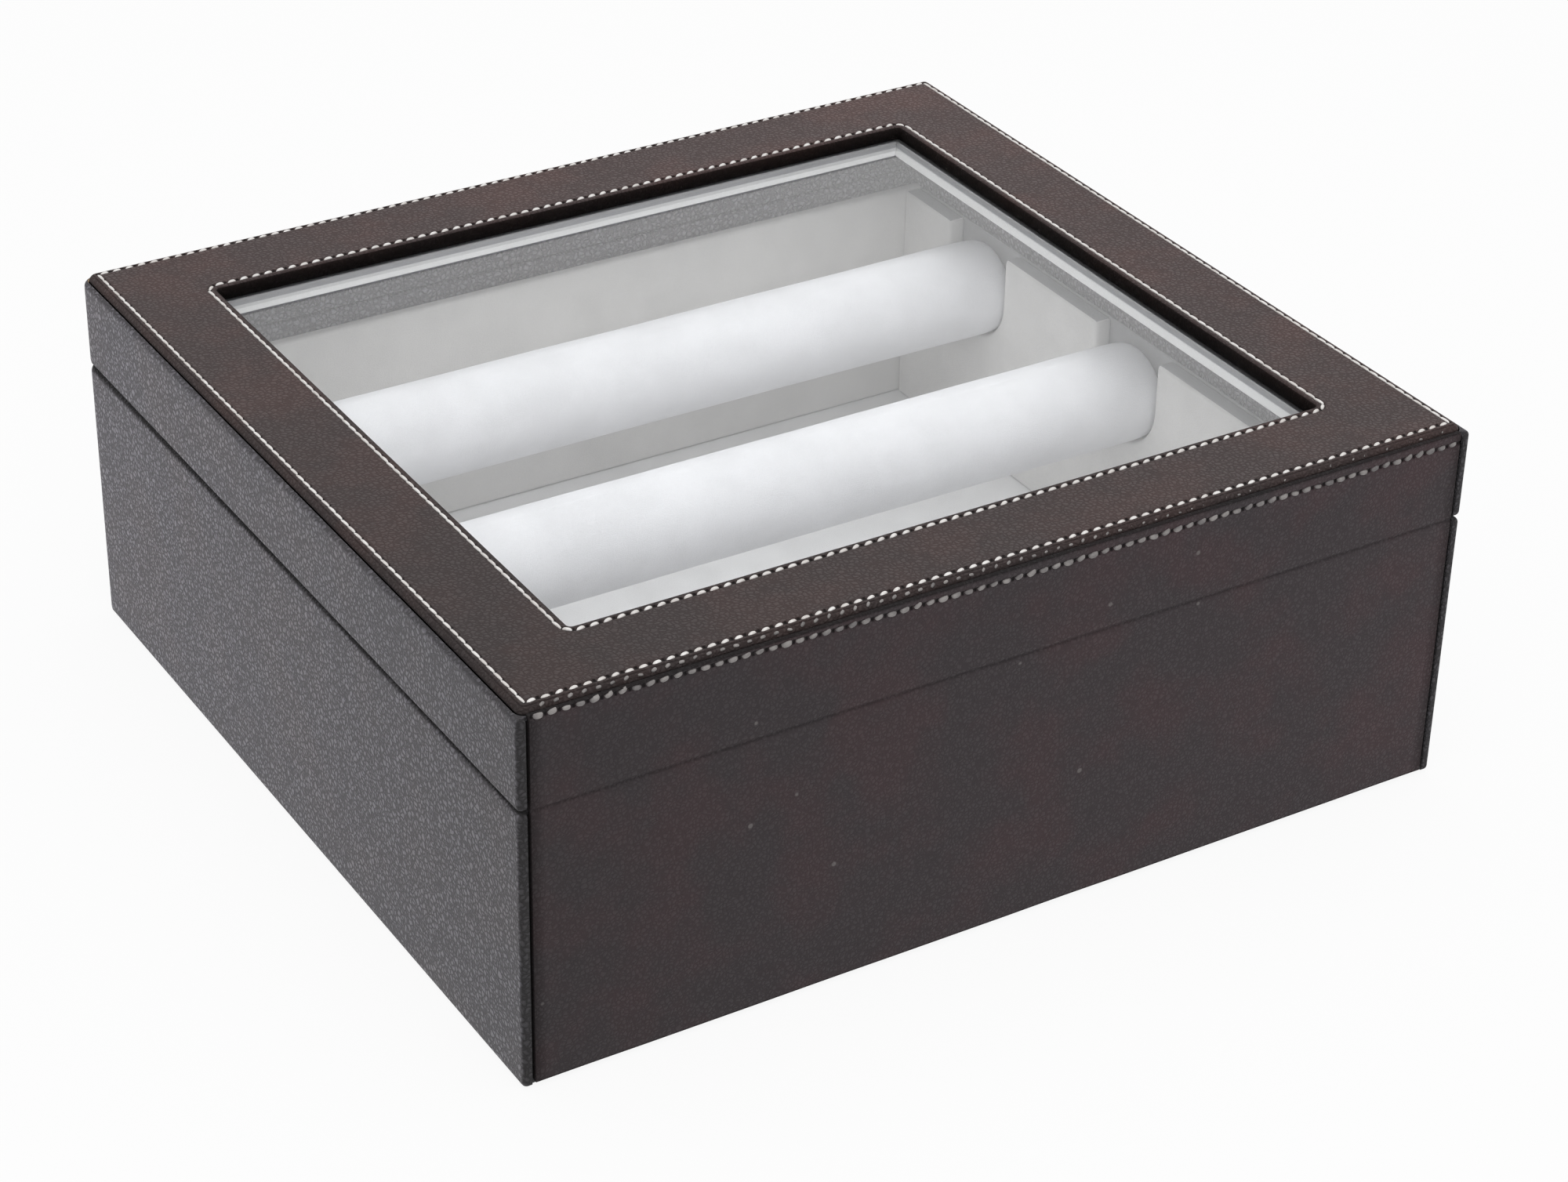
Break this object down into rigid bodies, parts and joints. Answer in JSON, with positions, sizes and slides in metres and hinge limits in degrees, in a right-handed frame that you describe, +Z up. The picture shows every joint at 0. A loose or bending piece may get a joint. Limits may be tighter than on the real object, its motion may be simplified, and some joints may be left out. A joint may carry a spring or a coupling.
{
  "type": "bangle box",
  "caption": "Leather-covered box with a leather-hinged glass-window lid; padded rolls that carry bangles lift out of slotted end holders.",
  "frame": {"origin": "middle of the underside", "axes": "X runs along the hinge, Y from the hinge spine at the back to the opening front, Z up"},
  "size_m": [0.26, 0.24, 0.1],
  "materials": {
    "leather_brown": "dark brown leather, satin, fine grain",
    "leather_grey": "dark grey-brown leather, satin, pebble grain",
    "board": "raw fibreboard",
    "holder_board": "board covered in beige suede cloth",
    "lining_beige": "beige suede cloth",
    "lining_grey": "dark grey suede cloth",
    "bead_white": "white, smooth",
    "glass": "clear float glass",
    "roll_cover": "white velvet",
    "roll_cap": "card covered in white velvet",
    "roll_padding": "cream foam",
    "card_tube": "grey card"
  },
  "bodies": {
    "base": {"underside_sheet": "leather_brown", "base_floor_board": "board", "base_front_board": "board", "base_back_board": "board", "base_left_board": "board", "base_right_board": "board", "base_leather": "leather_grey", "spine_base": "leather_brown", "floor_lining": "lining_beige", "base_front_lining": "lining_beige", "base_back_lining": "lining_beige", "base_left_lining": "lining_grey", "base_right_lining": "lining_grey", "roll_holder_left": "holder_board", "roll_holder_right": "holder_board"},
    "lid": {"lid_front_board": "board", "lid_back_board": "board", "lid_left_board": "board", "lid_right_board": "board", "lid_frame_board": "board", "lid_leather": "leather_grey", "lid_top_leather": "leather_brown", "spine_lid": "leather_brown", "glass_spacer": "board", "window_glass": "glass", "glass_bead_front": "bead_white", "glass_bead_back": "bead_white", "glass_bead_left": "bead_white", "glass_bead_right": "bead_white", "lid_front_lining": "lining_grey", "lid_back_lining": "lining_grey", "lid_left_lining": "lining_grey", "lid_right_lining": "lining_grey"},
    "roll_front": {"roll_tube_front": "card_tube", "roll_padding_front": "roll_padding", "roll_cover_front": "roll_cover", "roll_caps_front": "roll_cap"},
    "roll_middle": {"roll_tube_middle": "card_tube", "roll_padding_middle": "roll_padding", "roll_cover_middle": "roll_cover", "roll_caps_middle": "roll_cap"},
    "roll_back": {"roll_tube_back": "card_tube", "roll_padding_back": "roll_padding", "roll_cover_back": "roll_cover", "roll_caps_back": "roll_cap"}
  },
  "joints": [
    {"name": "lid_hinge", "type": "hinge", "parent": "base", "child": "lid", "pos_m": [0, -0.12, 0.075], "axis": [1, 0, 0], "range_deg": [0, 170]},
    {"name": "roll_front_lift", "type": "slide", "parent": "base", "child": "roll_front", "axis": [0, 0, 1], "range_m": [0, 0.02]},
    {"name": "roll_middle_lift", "type": "slide", "parent": "base", "child": "roll_middle", "axis": [0, 0, 1], "range_m": [0, 0.02]},
    {"name": "roll_back_lift", "type": "slide", "parent": "base", "child": "roll_back", "axis": [0, 0, 1], "range_m": [0, 0.02]}
  ]
}
